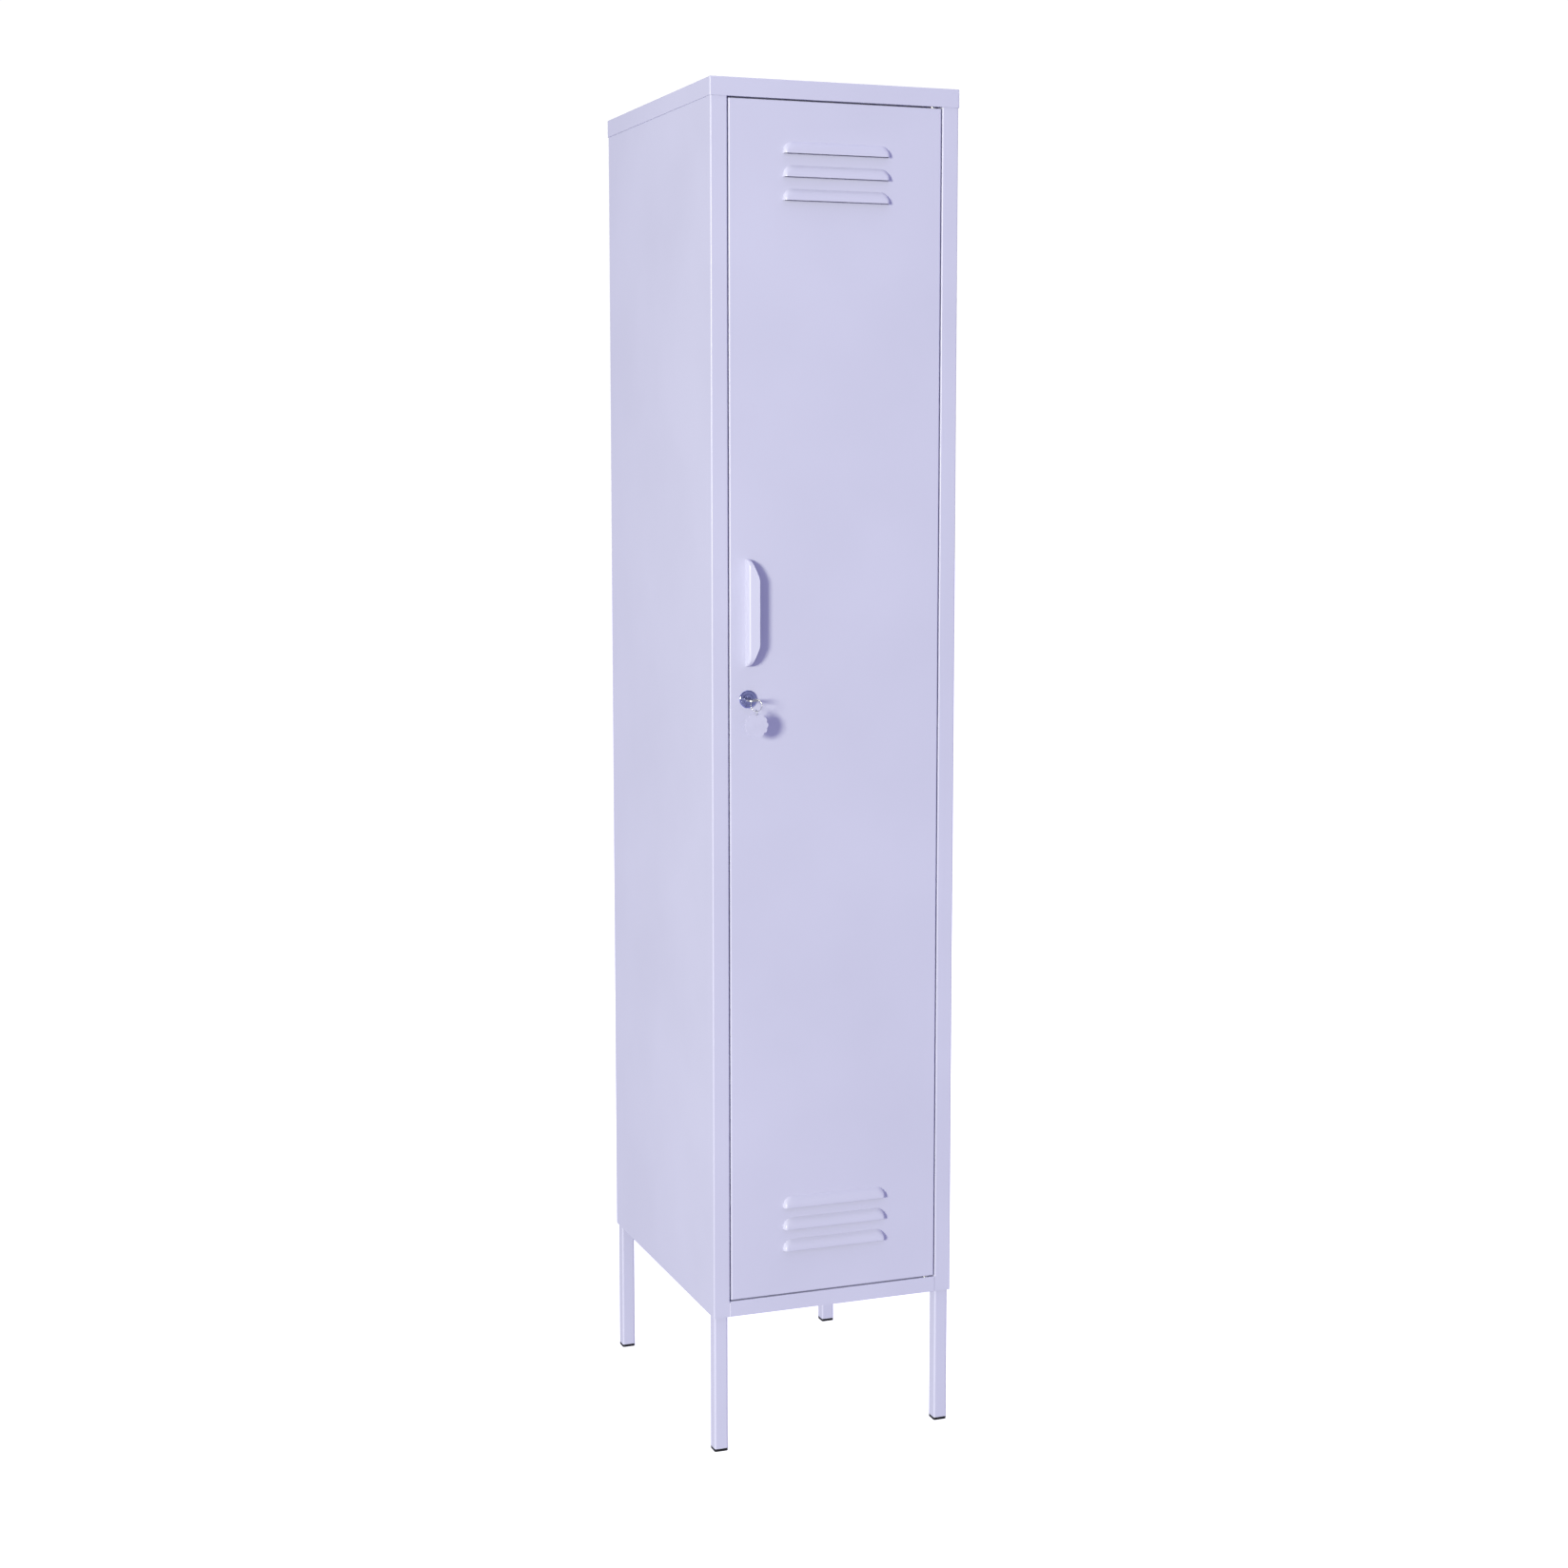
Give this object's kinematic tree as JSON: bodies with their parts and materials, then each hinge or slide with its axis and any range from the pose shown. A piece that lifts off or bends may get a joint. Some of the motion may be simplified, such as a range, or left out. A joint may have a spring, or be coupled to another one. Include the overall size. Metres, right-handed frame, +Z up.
{
  "type": "school locker",
  "caption": "Tall narrow sheet-steel locker with one louvred, key-locked door, shelves and a hanging rail inside, standing on square tube legs.",
  "frame": {"origin": "on the floor, under the middle of the whole outline, key and tag included", "axes": "+Z up; the door faces -Y; +X is to the right of someone facing the door"},
  "size_m": [0.35, 0.4908, 1.83],
  "materials": {
    "powder_coat": "fine satin powder coat, lilac",
    "zinc_plate": "bright zinc plate",
    "chrome": "polished chrome plate",
    "nickel": "nickel-plated key blank",
    "black_plastic": "moulded black plastic",
    "nylon": "natural nylon",
    "rubber": "soft black rubber",
    "ferrite": "sintered ferrite magnet",
    "tag_enamel": "lilac enamelled tag"
  },
  "bodies": {
    "cabinet": {"side_panel_left": "powder_coat", "side_panel_right": "powder_coat", "back_panel": "powder_coat", "top_cap": "powder_coat", "header_rail": "powder_coat", "base_tray": "powder_coat", "leg_front_left": "powder_coat", "leg_front_right": "powder_coat", "leg_rear_left": "powder_coat", "leg_rear_right": "powder_coat", "lower_shelf": "powder_coat", "middle_shelf": "powder_coat", "hat_shelf": "powder_coat", "shelf_upright_front_left": "powder_coat", "shelf_upright_front_right": "powder_coat", "shelf_upright_rear_left": "powder_coat", "shelf_upright_rear_right": "powder_coat", "rail_bracket_left": "powder_coat", "rail_bracket_right": "powder_coat", "coat_hook_left": "powder_coat", "coat_hook_right": "powder_coat", "leg_bolts": "zinc_plate", "leg_weld_nuts": "zinc_plate", "shelf_clips": "zinc_plate", "rail_screws": "zinc_plate", "rail_nuts": "zinc_plate", "hook_rivets": "zinc_plate", "hinge_pin_lower": "zinc_plate", "hinge_pin_upper": "zinc_plate", "catch_screws": "zinc_plate", "hanging_rail": "chrome", "foot_front_left": "black_plastic", "foot_front_right": "black_plastic", "foot_rear_left": "black_plastic", "foot_rear_right": "black_plastic", "magnet_catch_body": "black_plastic", "cable_grommet": "rubber", "door_bumpers": "rubber", "catch_magnet": "ferrite"},
    "door": {"door_skin": "powder_coat", "door_stiffener": "powder_coat", "hinge_bush_lower": "nylon", "hinge_bush_upper": "nylon", "pull_handle": "powder_coat", "handle_screws": "zinc_plate", "handle_nuts": "zinc_plate", "lock_housing": "chrome", "lock_nut": "zinc_plate", "catch_keeper": "zinc_plate"},
    "lock_plug": {"lock_plug": "chrome", "lock_cam": "zinc_plate", "cam_screw": "zinc_plate"},
    "key": {"key": "nickel"},
    "key_ring": {"split_ring": "nickel"},
    "tag": {"jump_ring": "nickel", "key_tag": "tag_enamel"}
  },
  "joints": [
    {"name": "door_swing", "type": "hinge", "parent": "cabinet", "child": "door", "pos_m": [0.13925, -0.2082, 0], "axis": [0, 0, 1], "range_deg": [0, 110]},
    {"name": "key_turn", "type": "hinge", "parent": "door", "child": "lock_plug", "pos_m": [-0.12425, -0.2148, 1.028], "axis": [0, 1, 0], "range_deg": [0, 90]},
    {"name": "key_pull", "type": "slide", "parent": "lock_plug", "child": "key", "axis": [0, -1, 0], "range_m": [0, 0.018]},
    {"name": "ring_hang", "type": "hinge", "parent": "key", "child": "key_ring", "pos_m": [-0.12425, -0.2148, 1.028], "axis": [0, 1, 0], "range_deg": [-90, 0]},
    {"name": "tag_swing", "type": "hinge", "parent": "key_ring", "child": "tag", "pos_m": [-0.12141, -0.24028, 1.0142], "axis": [1, 0, 0], "range_deg": [-45, 35]}
  ],
  "couplings": [
    {"joint": "ring_hang", "follows": "key_turn", "ratio": -1}
  ]
}
